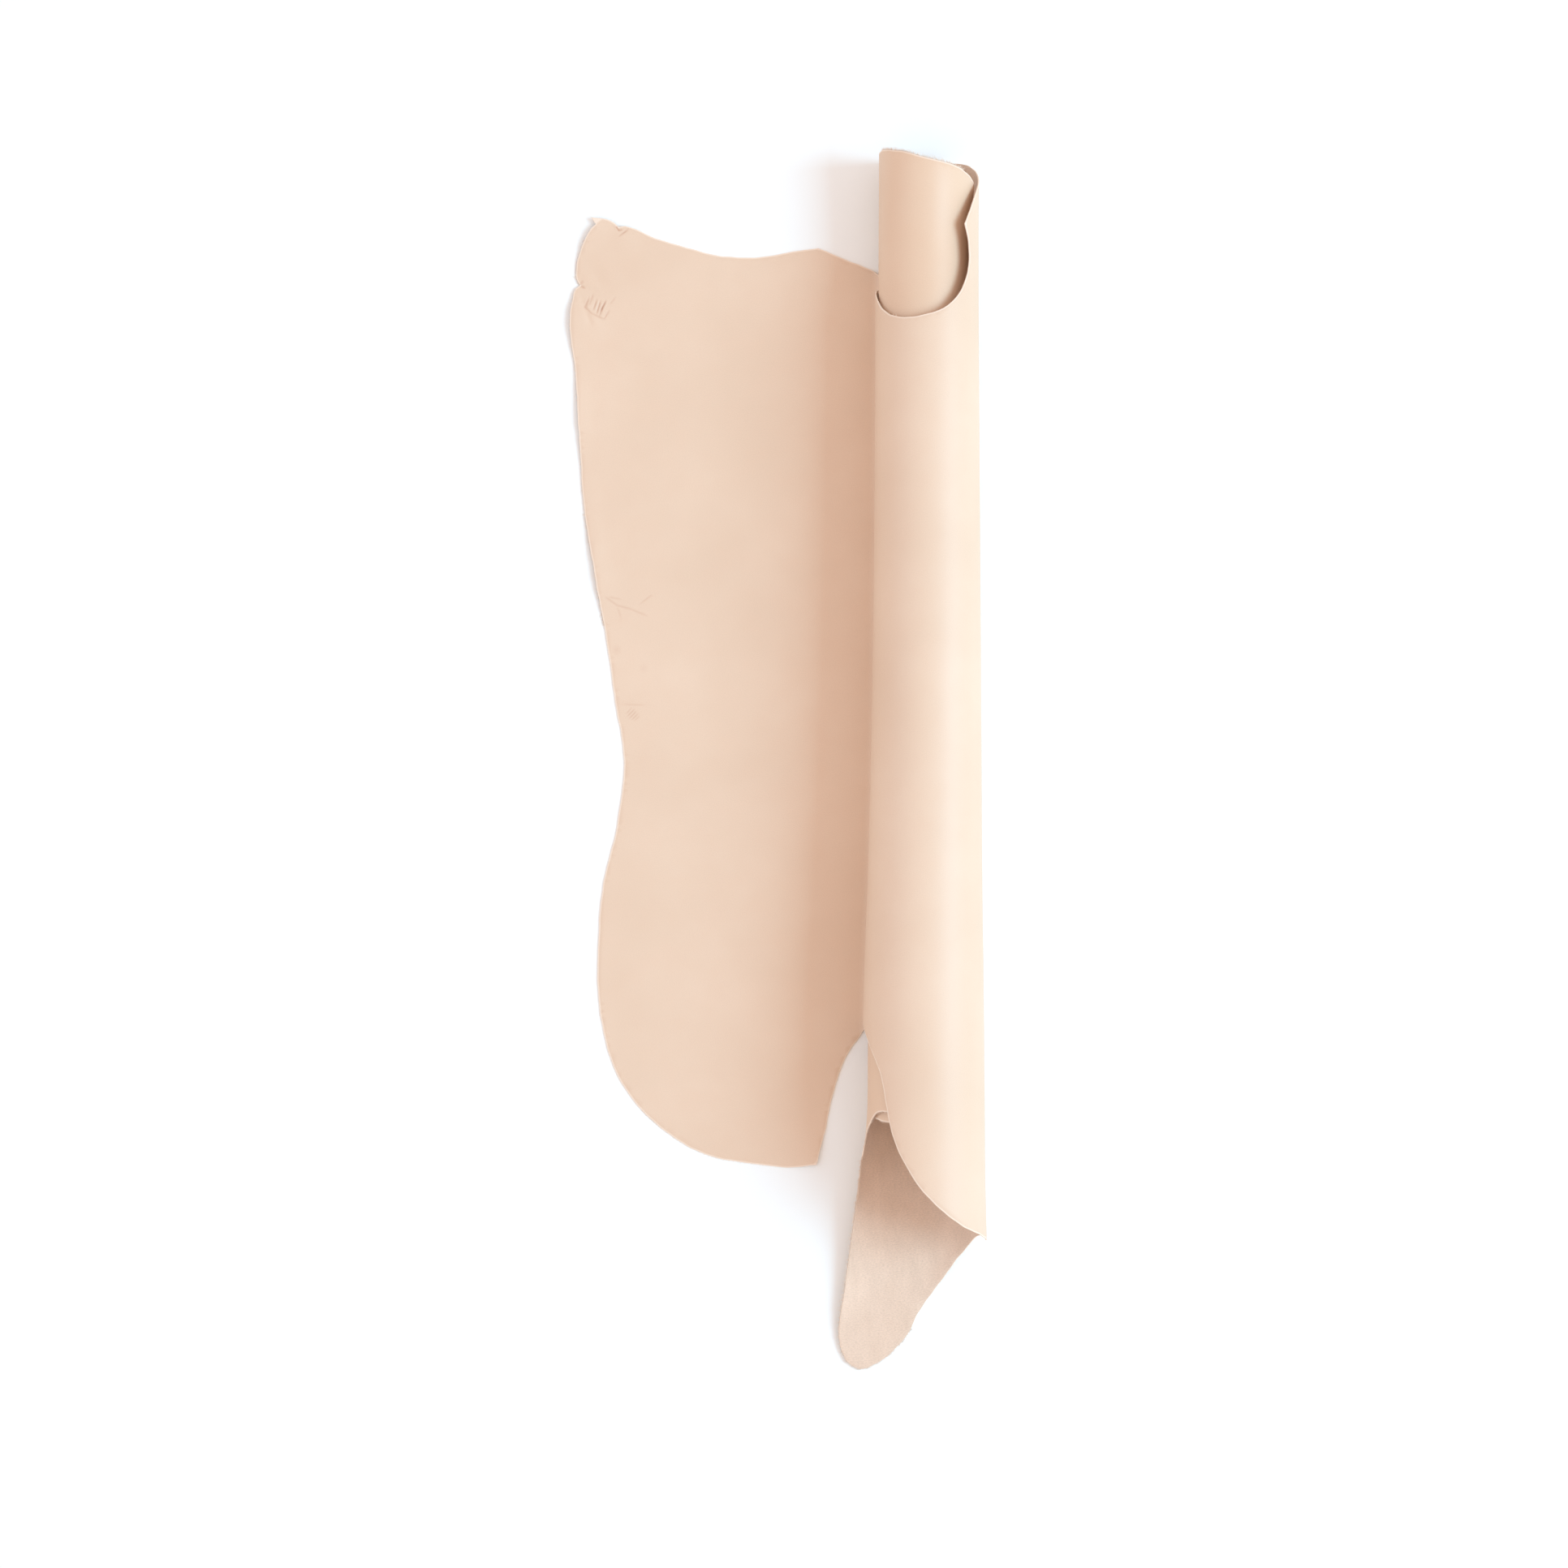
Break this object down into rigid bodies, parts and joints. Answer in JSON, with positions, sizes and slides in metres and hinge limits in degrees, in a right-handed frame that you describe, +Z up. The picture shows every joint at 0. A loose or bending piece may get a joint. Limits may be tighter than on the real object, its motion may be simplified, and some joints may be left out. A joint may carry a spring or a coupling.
{
  "type": "rolled calfskin",
  "caption": "Whole undyed vegetable tanned calfskin for cutting leather goods, left half laid flat grain side up, right half loosely rolled along the backbone.",
  "frame": {"origin": "centre of the bounding box in plan, at the height of the floor that the hide lies on", "axes": "+Y along the backbone towards the neck, +X from the flat half towards the roll, +Z up from the floor"},
  "size_m": [0.4575, 1.336, 0.1304],
  "materials": {
    "undyed vegetable tanned leather": "smooth satin grain outside, short suede nap on the flesh side, cut edge raw"
  },
  "bodies": {
    "root": {"calfskin": "undyed vegetable tanned leather"}
  },
  "joints": []
}
